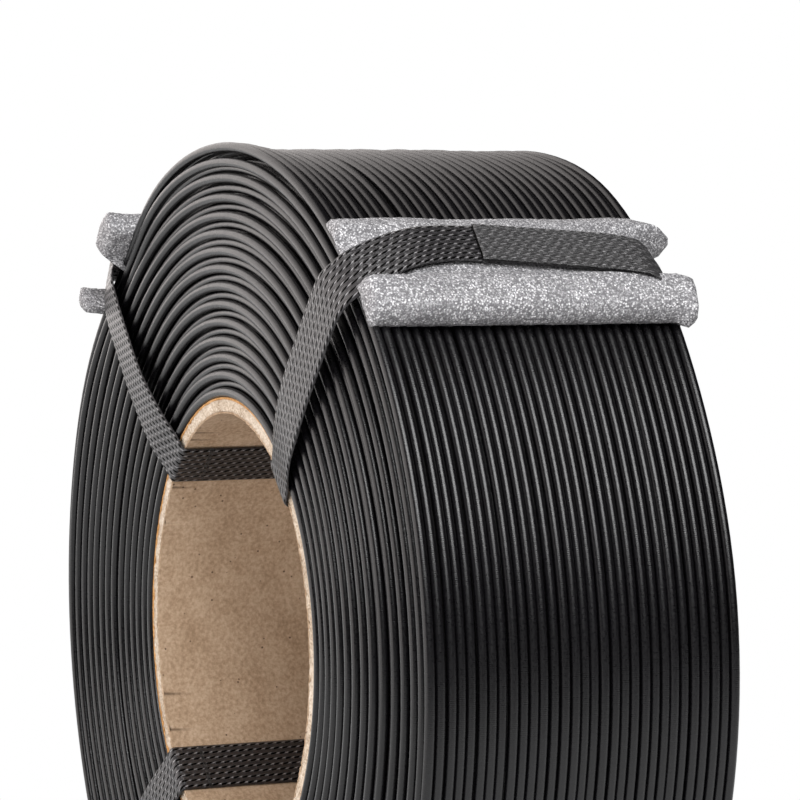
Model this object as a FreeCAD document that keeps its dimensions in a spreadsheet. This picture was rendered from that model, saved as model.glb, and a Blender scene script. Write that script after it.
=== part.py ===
"""A refill coil of filament for a reusable spool: a wound ring of filament on a paperboard core tube, held
together by four woven straps that run through the bore and over four foam pads on the outer face.

Millimetres. The coil's axis lies along Y, the coil stands on its rim, and +Z is up. The origin is the middle of
the flat at the bottom of the rim. The front face, which the photograph shows, points to -Y."""

import FreeCAD, Part
import Sketcher
import math
import os

# Driving dimensions: alias, value, what it is
DIMENSIONS = [
    ("core_bore", 82.0, "inside diameter of the core tube"),
    ("inner_liner", 0.4, "thickness of the kraft ply that lines the bore"),
    ("board_wall", 2.2, "thickness of the grey board"),
    ("outer_liner", 0.4, "thickness of the tan ply round the board"),
    ("core_recess", 1.0, "how far each end of the core lies inside the coil's face"),
    ("winding_width", 61.0, "width of the coil along its axis"),
    ("winding_depth", 45.25, "depth of the winding from the core to the rim"),
    ("ridge_count", 14, "ridges on a side face, where the filament turns back from one layer to the next"),
    ("ridge_share", 0.48, "height of a ridge as a share of its width; half would be a half circle"),
    ("side_dish", 1.7, "how far the side face falls back towards the core"),
    ("dish_ridges", 10, "ridges over which it falls back towards the core"),
    ("rim_lean", 0.3, "how far the side face falls back towards the rim"),
    ("wire_diameter", 1.75, "diameter of the filament"),
    ("wire_sides", 8, "flat sides that the filament is drawn with"),
    ("turn_count", 23, "turns in the outer layer as it is drawn here"),
    ("layer_inset", 1.0, "from the coil's face to the first and last turn"),
    ("layer_gap", 0.1, "between the outer layer and the winding below it"),
    ("flat_depth", 0.175, "depth of the flat on which the rim stands"),
    ("strap_width", 10.0, "width of the woven strap"),
    ("strap_thickness", 0.6, "thickness of the woven strap"),
    ("strap_gap", 0.1, "between a strap and what it lies on"),
    ("rim_bend", 8.0, "inside radius of a strap where it turns over the rim"),
    ("bore_bend", 0.3, "inside radius of a strap where it turns into the bore"),
    ("lap_start", 26.0, "from the coil's front face to the cut end of a strap's welded lap"),
    ("pad_width", 25.0, "width of a foam pad round the rim"),
    ("pad_excess", 1.0, "how much longer a foam pad is than the coil is wide"),
    ("pad_edge", 4.6, "thickness of a foam pad at its long edges"),
    ("pad_middle", 5.4, "thickness of a foam pad beside the strap"),
    ("pad_pressed", 4.9, "thickness of a foam pad under the strap"),
    ("pad_rise", 1.2, "rise of the crown on each flap of a pad"),
    ("pad_splay", 0.5, "how far a pad's outer edges lean out"),
    ("crown_start", 4.1, "from a strap's middle line to where the crown of a flap starts"),
    ("pad_gap", 0.1, "between a foam pad and the outer layer"),
    ("upper_right_angle", 53.5, "place of the strap round the coil, from +X towards +Z"),
    ("upper_left_angle", 137.5, "place of the strap round the coil"),
    ("lower_left_angle", 229.5, "place of the strap round the coil"),
    ("lower_right_angle", 320.0, "place of the strap round the coil"),
    ("upper_right_start", 2.0, "from the coil's front face to the pad's front end"),
    ("upper_left_start", -3.0, "from the coil's front face to the pad's front end"),
    ("lower_left_start", -1.5, "from the coil's front face to the pad's front end"),
    ("lower_right_start", -0.5, "from the coil's front face to the pad's front end"),
]
STRAP_PLACES = ["upper_right", "upper_left", "lower_left", "lower_right"]


class Size:
    """A length worked out from the sheet: its value, and the words that bind a property to the same sum."""

    def __init__(self, value, words):
        self.value = value
        self.words = words

    def joined(self, other, sign, value):
        words = other.words if isinstance(other, Size) else repr(float(other))
        return Size(value, "(" + self.words + " " + sign + " " + words + ")")

    def __add__(self, other):
        return self.joined(other, "+", self.value + number(other))

    def __sub__(self, other):
        return self.joined(other, "-", self.value - number(other))

    def __mul__(self, other):
        return self.joined(other, "*", self.value * number(other))

    def __truediv__(self, other):
        return self.joined(other, "/", self.value / number(other))

    def __neg__(self):
        return self * -1

    def root(self):
        return Size(math.sqrt(self.value), "sqrt(" + self.words + ")")


def number(size):
    return size.value if isinstance(size, Size) else size


def crown_radius(chord, rise):
    """Radius of an arc from its chord and its rise."""
    return (chord * chord / 4 + rise * rise) / (rise * 2)


# The document and its sheet
doc = FreeCAD.newDocument("refill_coil")
sheet = doc.addObject("Spreadsheet::Sheet", "Sizes")
for row, (alias, value, meaning) in enumerate(DIMENSIONS, start=1):
    sheet.set("A" + str(row), alias)
    sheet.set("B" + str(row), str(value))
    sheet.set("C" + str(row), meaning)
    sheet.setAlias("B" + str(row), alias)
doc.recompute()


def size(alias):
    return Size(float(sheet.get(alias)), "Sizes." + alias)


# Radii from the bore outwards
bore_radius = size("core_bore") / 2
board_inside = bore_radius + size("inner_liner")
board_outside = board_inside + size("board_wall")
core_radius = board_outside + size("outer_liner")
rim_radius = core_radius + size("winding_depth")
body_radius = rim_radius - size("wire_diameter") - size("layer_gap")

# Places along the axis, from the middle of the coil
half_width = size("winding_width") / 2
half_core = half_width - size("core_recess")

# Height of the coil's axis over the flat on its rim
axis_height = rim_radius - size("flat_depth")


def sketch_in(body, role, name):
    """An empty sketch on one of the body's own origin planes."""
    sketch = body.newObject("Sketcher::SketchObject", name)
    plane = [part for part in body.Origin.OriginFeatures if part.Role == role][0]
    sketch.AttachmentSupport = [(plane, "")]
    sketch.MapMode = "FlatFace"
    return sketch


def draw_outline(sketch, corners, bends=None):
    """A closed outline through corners, each held by two bound distances from the origin. bends gives the sides
    that are arcs: side number, then radius and 1 where the centre is on the left of the side, or -1."""
    bends = bends or {}
    origin_point = (-1, 1)
    ends = []
    for side, (start, finish) in enumerate(zip(corners, corners[1:] + corners[:1])):
        a = FreeCAD.Vector(start[0].value, start[1].value, 0)
        b = FreeCAD.Vector(finish[0].value, finish[1].value, 0)
        if side not in bends:
            line = sketch.addGeometry(Part.LineSegment(a, b), False)
            ends.append(((line, 1), (line, 2)))
            continue
        radius, turn = bends[side]
        chord = b - a
        across = FreeCAD.Vector(-chord.y, chord.x, 0).normalize() * turn
        middle = (a + b) * 0.5
        centre = middle + across * math.sqrt(radius.value ** 2 - chord.Length ** 2 / 4)
        first, last = (a, b) if turn > 0 else (b, a)
        from_angle = math.atan2(first.y - centre.y, first.x - centre.x)
        to_angle = math.atan2(last.y - centre.y, last.x - centre.x)
        circle = Part.Circle(centre, FreeCAD.Vector(0, 0, 1), radius.value)
        arc = sketch.addGeometry(Part.ArcOfCircle(circle, from_angle, to_angle), False)
        ends.append(((arc, 1), (arc, 2)) if turn > 0 else ((arc, 2), (arc, 1)))
        number_of = sketch.addConstraint(Sketcher.Constraint("Radius", arc, radius.value))
        sketch.setExpression("Constraints[" + str(number_of) + "]", radius.words)
    for side, (across_size, along_size) in enumerate(corners):
        start = ends[side][0]
        before = ends[side - 1][1]
        sketch.addConstraint(Sketcher.Constraint("Coincident", before[0], before[1], start[0], start[1]))
        for kind, amount in (("DistanceX", across_size), ("DistanceY", along_size)):
            rule = Sketcher.Constraint(kind, origin_point[0], origin_point[1], start[0], start[1], amount.value)
            number_of = sketch.addConstraint(rule)
            sketch.setExpression("Constraints[" + str(number_of) + "]", amount.words)


def draw_rounded_box(sketch, low_x, high_x, half_y, low_radius, high_radius):
    """A box that is symmetric about y = 0, with one radius at its low x corners and one at its high x corners."""
    corners = [
        (low_x, low_radius - half_y),
        (low_x + low_radius, -half_y),
        (high_x - high_radius, -half_y),
        (high_x, high_radius - half_y),
        (high_x, half_y - high_radius),
        (high_x - high_radius, half_y),
        (low_x + low_radius, half_y),
        (low_x, half_y - low_radius),
    ]
    bends = {0: (low_radius, 1), 2: (high_radius, 1), 4: (high_radius, 1), 6: (low_radius, 1)}
    draw_outline(sketch, corners, bends)


def draw_box(sketch, low_x, high_x, low_y, high_y):
    draw_outline(sketch, [(low_x, low_y), (high_x, low_y), (high_x, high_y), (low_x, high_y)])


def new_body(label):
    body = doc.addObject("PartDesign::Body", label)
    body.Label = label
    return body


def pad_evenly(body, sketch, name, length, kind="PartDesign::Pad"):
    """A pad, or a pocket, that reaches half its length to each side of the sketch."""
    feature = body.newObject(kind, name)
    feature.Profile = sketch
    feature.SideType = "Symmetric"
    feature.setExpression("Length", length.words)
    return feature


def turned_ring(label, corners, bends=None):
    """A ring turned about the coil's axis, from its section: x is the radius and y the place along the axis."""
    body = new_body(label)
    sketch = sketch_in(body, "XY_Plane", label + "_section")
    draw_outline(sketch, corners, bends)
    turned = body.newObject("PartDesign::Revolution", label + "_turned")
    turned.Profile = sketch
    turned.ReferenceAxis = (sketch, ["V_Axis"])
    turned.Angle = 360.0
    body.setExpression("Placement.Base.z", axis_height.words)
    return body


def plain_ring(label, inside, outside, half_length):
    corners = [
        (inside, -half_length),
        (outside, -half_length),
        (outside, half_length),
        (inside, half_length),
    ]
    return turned_ring(label, corners)


# Core tube: a kraft ply in the bore, the grey board, and a tan ply outside
plain_ring("core_inner_liner", bore_radius, board_inside, half_core)
plain_ring("core_board", board_inside, board_outside, half_core)
plain_ring("core_outer_liner", board_outside, core_radius, half_core)

# Wound body: every layer below the outer one. On its side faces the filament turns back in ridges, one for two
# layers, and the face falls back towards the core and towards the rim
ridge_count = int(size("ridge_count").value)
dish_ridges = int(size("dish_ridges").value)
ridge_width = (body_radius - core_radius) / ridge_count
ridge_height = ridge_width * size("ridge_share")
valleys = []
for valley in range(ridge_count + 1):
    dish_share = max(dish_ridges - valley, 0) / dish_ridges
    lean_share = max(valley - dish_ridges, 0) / (ridge_count - dish_ridges)
    fall = size("side_dish") * dish_share + size("rim_lean") * lean_share
    valleys.append((core_radius + ridge_width * valley, half_width - ridge_height - fall))
ridge_bends = {}
for ridge, (start, finish) in enumerate(zip(valleys, valleys[1:])):
    step = finish[1] - start[1]
    chord = (ridge_width * ridge_width + step * step).root()
    bend = (crown_radius(chord, ridge_height), 1)
    ridge_bends[ridge] = bend
    ridge_bends[2 * ridge_count - ridge] = bend
front_valleys = [(radius, -along) for radius, along in valleys]
turned_ring("wound_body", front_valleys + valleys[::-1], ridge_bends)


def arc_between(start, heading, finish):
    """The arc that leaves start along heading and ends at finish."""
    chord = finish - start
    turn = chord.getAngle(heading)
    corner = start + heading * (chord.Length / 2 / math.cos(turn))
    middle = (start + finish) * 0.5
    rise = chord.Length / 2 * math.tan(turn / 2)
    return Part.Arc(start, middle + (corner - middle).normalize() * rise, finish)


def helix_place(radius, rise_per_turn, turns):
    """Point and heading on the outer layer's helix. It starts at the top and rises along +Y."""
    angle = math.pi / 2 + 2 * math.pi * turns
    point = FreeCAD.Vector(radius * math.cos(angle), rise_per_turn * turns, radius * math.sin(angle))
    heading = FreeCAD.Vector(-math.sin(angle), rise_per_turn / (2 * math.pi * radius), math.cos(angle))
    return point, heading.normalize()


def half_turn(first, first_heading, last, last_heading):
    """Two arcs that join two places of the helix with their headings kept, a biarc of half a turn."""
    span = last - first
    headings = first_heading + last_heading
    square = 2 * first_heading.dot(last_heading) - 2
    linear = -2 * span.dot(headings)
    handle = (-linear - math.sqrt(linear ** 2 - 4 * square * span.dot(span))) / (2 * square)
    joint = (first + last + (first_heading - last_heading) * handle) * 0.5
    ahead = arc_between(first, first_heading, joint)
    back = arc_between(last, -last_heading, joint)
    return [ahead.toShape(), back.toShape()]


def least_gap_to_itself(edges, wire):
    """Smallest clear distance between places of the path that are at least half a turn apart."""
    samples_per_arc = 24
    places = []
    for edge in edges:
        for step in range(samples_per_arc):
            share = step / samples_per_arc
            places.append(edge.valueAt(edge.FirstParameter + share * (edge.LastParameter - edge.FirstParameter)))
    window = 2 * samples_per_arc
    least = math.inf
    for index, place in enumerate(places):
        for other in places[index + window:index + 3 * window]:
            least = min(least, place.distanceToPoint(other))
    return least - wire


# Outer layer: one unbroken tube that winds once across the rim, with a straight end at each side
wire = size("wire_diameter").value
turn_count = int(size("turn_count").value)
layer_radius = (rim_radius - size("wire_diameter") / 2).value
layer_span = (half_width - size("layer_inset")) * 2 - size("wire_diameter")
turn_pitch = layer_span.value / turn_count
halves = [helix_place(layer_radius, turn_pitch, half / 2) for half in range(2 * turn_count + 1)]
turn_edges = []
for (point, heading), (next_point, next_heading) in zip(halves, halves[1:]):
    turn_edges.extend(half_turn(point, heading, next_point, next_heading))
first_point, first_heading = halves[0]
last_point, last_heading = halves[-1]
start_point = first_point - first_heading * wire
end_point = last_point + last_heading * wire
lead_in = Part.LineSegment(start_point, first_point).toShape()
lead_out = Part.LineSegment(last_point, end_point).toShape()
layer_path = Part.Wire([lead_in] + turn_edges + [lead_out])
outward = FreeCAD.Vector(0, 0, 1)
sideways = first_heading.cross(outward).normalize()
wire_sides = int(size("wire_sides").value)
ring_corners = []
for side in range(wire_sides):
    angle = 2 * math.pi * (side + 0.5) / wire_sides
    reach = (outward * math.cos(angle) + sideways * math.sin(angle)) * (wire / 2)
    ring_corners.append(start_point + reach)
layer_ring = Part.makePolygon(ring_corners + ring_corners[:1])
print("least gap between turns of the outer layer, mm:", round(least_gap_to_itself(turn_edges, wire), 3))
layer_tube = doc.addObject("Part::Feature", "layer_tube")
layer_tube.Shape = layer_path.makePipeShell([layer_ring], True, False)
layer_tube.Placement = FreeCAD.Placement(
    FreeCAD.Vector(0, -layer_span.value / 2, axis_height.value), FreeCAD.Rotation())
print("outer layer, tube volume over section times length:",
      round(layer_tube.Shape.Volume / (Part.Face(layer_ring).Area * layer_path.Length), 4))

# The flat on which the coil stands, cut into the outer layer
floor_block = doc.addObject("Part::Box", "floor_block")
floor_block.setExpression("Length", (rim_radius * 2).words)
floor_block.setExpression("Width", (half_width * 2).words)
floor_block.setExpression("Height", size("winding_depth").words)
floor_block.setExpression("Placement.Base.x", (-rim_radius).words)
floor_block.setExpression("Placement.Base.y", (-half_width).words)
floor_block.setExpression("Placement.Base.z", (-size("winding_depth")).words)
outer_layer = doc.addObject("Part::Cut", "outer_layer")
outer_layer.Label = "outer_layer"
outer_layer.Base = layer_tube
outer_layer.Tool = floor_block

# Straps and pads are drawn along +X and turned to their places about the coil's axis.
# A flat strap in the round bore touches the wall with its two edges
half_strap = size("strap_width") / 2
strap_low = (bore_radius * bore_radius - half_strap * half_strap).root() - size("strap_gap")
pad_seat = rim_radius + size("pad_gap")
pad_under_strap = pad_seat + size("pad_pressed")
strap_high = pad_under_strap + size("strap_gap")
strap_side = half_width + size("strap_gap")
thickness = size("strap_thickness")


def place_round(body, place):
    """Turns a body from +X to its strap's place about the coil's axis."""
    angle = size(place + "_angle").value
    turn = FreeCAD.Rotation(FreeCAD.Vector(0, -1, 0), angle)
    body.Placement = FreeCAD.Placement(FreeCAD.Vector(0, 0, axis_height.value), turn)


def make_strap(place):
    """One strap: a closed loop through the bore and over the pad, with its end lapped and welded on the rim."""
    body = new_body("strap_" + place)
    loop = sketch_in(body, "XY_Plane", "loop_" + place)
    draw_rounded_box(loop, strap_low, strap_high, strap_side, size("bore_bend"), size("rim_bend"))
    draw_rounded_box(loop, strap_low - thickness, strap_high + thickness, strap_side + thickness,
                     size("bore_bend") + thickness, size("rim_bend") + thickness)
    pad_evenly(body, loop, "loop_pad_" + place, size("strap_width"))
    lap = sketch_in(body, "XY_Plane", "lap_" + place)
    draw_box(lap, strap_high + thickness / 2, strap_high + thickness * 2,
             size("lap_start") - half_width, strap_side - size("rim_bend"))
    pad_evenly(body, lap, "lap_pad_" + place, size("strap_width"))
    place_round(body, place)


def make_foam_pad(place):
    """One foam pad: its inside follows the rim, its two flaps are crowned, and the strap presses its middle."""
    body = new_body("foam_pad_" + place)
    half_pad = size("pad_width") / 2
    half_slot = half_strap + size("strap_gap")
    edge_low = (pad_seat * pad_seat - half_pad * half_pad).root()
    edge_high = edge_low + size("pad_edge")
    middle_high = pad_seat + size("pad_middle")
    flap_end = half_pad + size("pad_splay")
    flap_root = size("crown_start")
    corners = [
        (edge_low, -half_pad),
        (edge_high, -flap_end),
        (middle_high, -flap_root),
        (middle_high, flap_root),
        (edge_high, flap_end),
        (edge_low, half_pad),
    ]
    leg_x = middle_high - edge_high
    leg_y = flap_end - flap_root
    chord = (leg_x * leg_x + leg_y * leg_y).root()
    crown = crown_radius(chord, size("pad_rise"))
    section = sketch_in(body, "XZ_Plane", "section_" + place)
    draw_outline(section, corners, {1: (crown, 1), 3: (crown, 1), 5: (pad_seat, -1)})
    pad_length = size("winding_width") + size("pad_excess")
    pad_evenly(body, section, "foam_" + place, pad_length)
    pad_centre = size(place + "_start") + pad_length / 2 - half_width
    section.setExpression("AttachmentOffset.Base.z", (-pad_centre).words)
    press = sketch_in(body, "XY_Plane", "press_" + place)
    press_end = size("winding_width")
    draw_box(press, bore_radius, rim_radius + size("winding_depth"), -press_end, press_end)
    draw_rounded_box(press, core_radius, pad_under_strap, strap_side - size("strap_gap"),
                     size("bore_bend"), size("rim_bend") - size("strap_gap"))
    pad_evenly(body, press, "pressed_" + place, half_slot * 2, "PartDesign::Pocket")
    place_round(body, place)


for strap_place in STRAP_PLACES:
    make_strap(strap_place)
    make_foam_pad(strap_place)

doc.recompute()

# Every object must have built, and every sub-part must be one valid solid
for item in doc.Objects:
    faults = [word for word in item.State if word in ("Invalid", "Error")]
    if faults:
        raise RuntimeError(item.Label + " did not build: " + ", ".join(faults))
NODES = ["core_inner_liner", "core_board", "core_outer_liner", "wound_body", "outer_layer"]
NODES += ["strap_" + place for place in STRAP_PLACES]
NODES += ["foam_pad_" + place for place in STRAP_PLACES]
os.makedirs("parts", exist_ok=True)
for node in NODES:
    shape = doc.getObjectsByLabel(node)[0].Shape
    if shape.isNull() or not shape.isValid() or len(shape.Solids) != 1:
        raise RuntimeError(node + " is not one valid solid")
for node in NODES:
    shape = doc.getObjectsByLabel(node)[0].Shape
    shape.exportStep("parts/" + node + ".step")
    box = shape.BoundBox
    print(node, "volume", round(shape.Volume, 1), "x", round(box.XMin, 2), round(box.XMax, 2),
          "y", round(box.YMin, 2), round(box.YMax, 2), "z", round(box.ZMin, 2), round(box.ZMax, 2))
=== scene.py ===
"""A refill coil of black filament on a paperboard core tube, held by four woven straps over grey foam pads.

The coil's axis lies along Y and the coil stands on its rim at z = 0. Lengths are millimetres in this file
and are turned to metres when a mesh is made. Angles round the coil are degrees from +X towards +Z."""

import math
from typing import NamedTuple

import bpy
import numpy as np
from mathutils import Matrix, Vector


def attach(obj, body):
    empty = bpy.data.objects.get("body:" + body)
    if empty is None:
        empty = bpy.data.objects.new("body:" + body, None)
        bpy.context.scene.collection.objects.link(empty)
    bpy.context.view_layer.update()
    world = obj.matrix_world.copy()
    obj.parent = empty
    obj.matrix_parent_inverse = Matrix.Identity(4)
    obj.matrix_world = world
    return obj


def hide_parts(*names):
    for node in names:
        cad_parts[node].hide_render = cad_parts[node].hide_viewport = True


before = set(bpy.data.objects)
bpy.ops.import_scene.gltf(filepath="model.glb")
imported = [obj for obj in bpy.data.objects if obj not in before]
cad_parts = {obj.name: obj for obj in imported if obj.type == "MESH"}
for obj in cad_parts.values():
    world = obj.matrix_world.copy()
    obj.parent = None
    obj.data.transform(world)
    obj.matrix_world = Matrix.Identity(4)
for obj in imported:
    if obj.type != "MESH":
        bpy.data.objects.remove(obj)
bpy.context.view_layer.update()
chance = np.random.default_rng(7)

MM = 0.001

# Sizes of the coil
AXIS_HEIGHT = 89.075
HALF_WIDTH = 30.5
CORE_BORE_RADIUS = 41.0
INNER_LINER = 0.4
BOARD_WALL = 2.2
OUTER_LINER = 0.4
CORE_FRONT = -27.8
CORE_BACK = 29.5
CORE_RADIUS = CORE_BORE_RADIUS + INNER_LINER + BOARD_WALL + OUTER_LINER

# Sizes of the winding
WIRE = 1.75
PITCH = 1.80
LAYER_COUNT = 28
FIRST_RADIUS = CORE_RADIUS + WIRE / 2
LAST_RADIUS = 88.375
LAYER_RISE = (LAST_RADIUS - FIRST_RADIUS) / (LAYER_COUNT - 1)
OUTER_TURNS = 31
END_TURNS = 1.12
STEPS_PER_TURN = 150
STRAND_SIDES = 10
OUTER_STRAND_SIDES = 12

# How far the side faces lie back at each radius: on the front at the right and at the left, and on the back
FRONT_FACE = [(45, 2.05, 1.85), (52, 1.5, 1.6), (57, 1.2, 1.4), (62, 1.2, 1.0), (65, 1.4, 0.45),
              (68, 1.6, 0.3), (72, 1.8, -0.1), (75, 2.5, -0.15), (78, 3.2, -0.4), (85, 3.4, -0.9),
              (87.6, 3.9, -1.3), (89, 3.3, -2.0)]
BACK_FACE = [(45, 1.3), (58, 0.6), (89, -0.1)]

# Sizes of the straps and the pads
STRAP_WIDTH = 10.0
STRAP_THICKNESS = 0.6
PAD_WIDTH = 25.5
PAD_LENGTH = 60.6
PAD_SEAT = 89.35
PAD_PRESSED = 4.9
STRAP_TOP_RADIUS = PAD_SEAT + PAD_PRESSED + 0.1 + STRAP_THICKNESS / 2


class Place(NamedTuple):
    """Where a strap and its pad lie. The first four are angles: the strap's in the bore, at the rim and over
    the pad, and the pad's own. pad_front is how far the pad's front end lies behind the coil's face."""
    in_bore: float
    at_rim: float
    over_pad: float
    pad: float
    pad_front: float


PLACES = {
    "upper_right": Place(52.0, 51.7, 53.8, 53.0, 2.4),
    "upper_left": Place(137.0, 139.3, 138.6, 136.8, -3.5),
    "lower_left": Place(229.5, 230.5, 229.5, 229.5, -1.5),
    "lower_right": Place(319.0, 320.5, 320.0, 320.0, -0.5),
}


def around(radius, angle, along):
    """Points about the coil's axis. along is the place along +Y, from the coil's middle."""
    turn = np.radians(angle)
    radius, turn, along = np.broadcast_arrays(radius, turn, along)
    return np.stack([radius * np.cos(turn), along, AXIS_HEIGHT + radius * np.sin(turn)], axis=-1)


def from_axis(points):
    """The way from the coil's axis straight out to each point."""
    return points * [1, 0, 1] - [0, 0, AXIS_HEIGHT]


def axis_distance(points):
    return np.hypot(points[:, 0], points[:, 2] - AXIS_HEIGHT)


def unit(vectors):
    return vectors / np.maximum(np.linalg.norm(vectors, axis=-1, keepdims=True), 1e-9)


def square_to(vectors, ahead):
    """The vectors turned square to the way ahead, at length 1."""
    return unit(vectors - ahead * np.sum(vectors * ahead, axis=1, keepdims=True))


def length_along(path):
    """How far along the path each of its points lies."""
    return np.concatenate([[0], np.cumsum(np.linalg.norm(np.diff(path, axis=0), axis=1))])


def ease(share):
    """0 to 1 with a level start and end."""
    share = np.clip(share, 0, 1)
    return share * share * (3 - 2 * share)


def hump(angle, middle, spread):
    """1 at one angle of the coil, falling to 0 on both sides of it."""
    return np.exp(-((angle % 360 - middle) / spread) ** 2)


def make_piece(name, points, faces, material, flat_map=None):
    """A mesh piece from points in millimetres. flat_map is each point's place on the unrolled surface."""
    mesh = bpy.data.meshes.new(name)
    mesh.from_pydata((points * MM).tolist(), [], faces)
    mesh.shade_smooth()
    if flat_map is not None:
        layer = mesh.uv_layers.new(name="UVMap")
        corner = np.zeros(len(mesh.loops), np.int32)
        mesh.loops.foreach_get("vertex_index", corner)
        layer.data.foreach_set("uv", flat_map.astype(np.float32)[corner].ravel())
    mesh.validate()
    mesh.materials.append(material)
    piece = bpy.data.objects.new(name, mesh)
    bpy.context.scene.collection.objects.link(piece)
    return piece


def grid_faces(rows, columns, close_rows=False, close_columns=False, first=0):
    """Four-sided faces over a grid of points counted row by row. first is the number of its first point."""
    row = np.arange(rows if close_rows else rows - 1)
    column = np.arange(columns if close_columns else columns - 1)
    row, column = np.meshgrid(row, column, indexing="ij")
    next_row = (row + 1) % rows
    next_column = (column + 1) % columns
    corners = [row * columns + column, row * columns + next_column,
               next_row * columns + next_column, next_row * columns + column]
    return (np.stack([corner.ravel() for corner in corners], axis=1) + first).tolist()


# The camera of the photograph: where it looks from, its roll, and the point of the coil that it is aimed at
CAMERA_AZIMUTH = 67.18
CAMERA_ELEVATION = 7.08
CAMERA_ROLL = 1.68
CAMERA_DISTANCE = 597.9
AIM_FRONT = -1.15
AIM_RIGHT = 6.89
AIM_UP = 42.91
LENS = 144.48
SENSOR_WIDTH = 36.0


def place_camera():
    azimuth = math.radians(CAMERA_AZIMUTH)
    elevation = math.radians(CAMERA_ELEVATION)
    roll = math.radians(CAMERA_ROLL)
    level_right = Vector((math.cos(azimuth), math.sin(azimuth), 0))
    back = Vector((math.sin(azimuth) * math.cos(elevation), -math.cos(azimuth) * math.cos(elevation),
                   math.sin(elevation)))
    level_up = back.cross(level_right)
    right = level_right * math.cos(roll) + level_up * math.sin(roll)
    up = level_up * math.cos(roll) - level_right * math.sin(roll)
    aim = Vector((0, AIM_FRONT, AXIS_HEIGHT)) + right * AIM_RIGHT + up * AIM_UP
    data = bpy.data.cameras.new("photograph_view")
    data.lens = LENS
    data.sensor_width = SENSOR_WIDTH
    data.clip_start = 0.01
    camera = bpy.data.objects.new("photograph_view", data)
    turn = Matrix((right, up, back)).transposed()
    camera.matrix_world = Matrix.Translation((aim + back * CAMERA_DISTANCE) * MM) @ turn.to_4x4()
    bpy.context.scene.collection.objects.link(camera)
    bpy.context.scene.camera = camera


# What the materials are made with
def hex_colour(code):
    """A linear colour from an sRGB hex value."""
    values = [int(code[place:place + 2], 16) / 255 for place in (1, 3, 5)]
    linear = [value / 12.92 if value <= 0.04045 else ((value + 0.055) / 1.055) ** 2.4 for value in values]
    return (*linear, 1.0)


def add_node(tree, kind, settings=None, **inputs):
    """A node with its properties set, and each named input set to a value or linked from another node's
    socket. An input without a name of its own is named by its place: i0, i1 and so on."""
    node = tree.nodes.new(kind)
    for name, value in (settings or {}).items():
        setattr(node, name, value)
    for name, value in inputs.items():
        key = int(name[1:]) if name[0] == "i" and name[1:].isdigit() else name.replace("_", " ")
        if isinstance(value, bpy.types.NodeSocket):
            tree.links.new(value, node.inputs[key])
        else:
            node.inputs[key].default_value = value
    return node


def new_material(name, **surface):
    """A material with its shader and output. The surface's constants are set on the shader itself."""
    material = bpy.data.materials.new(name)
    material.use_nodes = True
    tree = material.node_tree
    tree.nodes.clear()
    shader = add_node(tree, "ShaderNodeBsdfPrincipled", **surface)
    add_node(tree, "ShaderNodeOutputMaterial", Surface=shader.outputs["BSDF"])
    return material, tree, shader


def vary(tree, shader, **sockets):
    """Links what changes over the surface to the shader's inputs."""
    for name, socket in sockets.items():
        tree.links.new(socket, shader.inputs[name.replace("_", " ")])


def calculate(tree, operation, *values):
    """The result of one operation on one, two or three values or sockets."""
    inputs = {f"i{place}": value for place, value in enumerate(values)}
    return add_node(tree, "ShaderNodeMath", {"operation": operation}, **inputs).outputs["Value"]


def fit_range(tree, value, start, end, at_start, at_end):
    """at_start up to where the value is start, at_end from where it is end, and even between them."""
    node = add_node(tree, "ShaderNodeMapRange", Value=value, From_Min=start, From_Max=end,
                    To_Min=at_start, To_Max=at_end)
    return node.outputs["Result"]


def noise(tree, place, scale, detail=2.0, **more):
    node = add_node(tree, "ShaderNodeTexNoise", Vector=place, Scale=scale, Detail=detail, **more)
    return node.outputs["Fac"]


def small_relief(tree, height, strength, depth, invert=False):
    """The surface's direction on a fine relief, whose depth is in millimetres."""
    bump = add_node(tree, "ShaderNodeBump", {"invert": invert}, Strength=strength, Distance=depth * MM,
                    Height=height)
    return bump.outputs["Normal"]


def flat_place(tree):
    """The place on the unrolled surface, in millimetres: x along the piece and y across it."""
    return add_node(tree, "ShaderNodeUVMap", {"uv_map": "UVMap"}).outputs["UV"]


def body_place(tree):
    """The place in the solid, in millimetres."""
    place = add_node(tree, "ShaderNodeTexCoord").outputs["Object"]
    scaled = add_node(tree, "ShaderNodeVectorMath", {"operation": "SCALE"}, i0=place, Scale=1 / MM)
    return scaled.outputs["Vector"]


def stepped_colour(tree, amount, stops):
    """A colour from a value, through stops of place and hex colour."""
    ramp = add_node(tree, "ShaderNodeValToRGB", Fac=amount)
    elements = ramp.color_ramp.elements
    for element, (place, code) in zip(elements, (stops[0], stops[-1])):
        element.position = place
        element.color = hex_colour(code)
    for place, code in stops[1:-1]:
        elements.new(place).color = hex_colour(code)
    return ramp.outputs["Color"]


# The materials
def filament_material():
    """Black ABS, drawn through a die: a satin skin with fine rings left across the strand, so its highlights
    are soft along the strand and slightly grainy."""
    material, tree, shader = new_material("black_abs_drawn", IOR=1.54)
    solid = body_place(tree)
    # The rings are about 0.3 mm apart, and waver by a fine noise
    rings = add_node(tree, "ShaderNodeTexWave", {"wave_type": "BANDS", "bands_direction": "X"},
                     Vector=flat_place(tree), Scale=0.95, Distortion=3.0, Detail=2.0, Detail_Scale=2.0)
    grain = noise(tree, solid, 2.6)
    patch = noise(tree, solid, 0.05)
    height = calculate(tree, "MULTIPLY_ADD", grain, 1.2, rings.outputs["Fac"])
    vary(tree, shader,
         Base_Color=stepped_colour(tree, patch, [(0.3, "#060507"), (0.7, "#0b0a0d")]),
         Roughness=fit_range(tree, grain, 0.3, 0.7, 0.25, 0.36),
         Normal=small_relief(tree, height, 0.12, 0.06))
    return material


# Woven strap: the width of one column of threads, the length from one slot between threads to the next, and
# the slant of the slots
COLUMN = STRAP_WIDTH / 8
SLOT_PITCH = 1.8
SLOT_SLANT = -0.32


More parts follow.
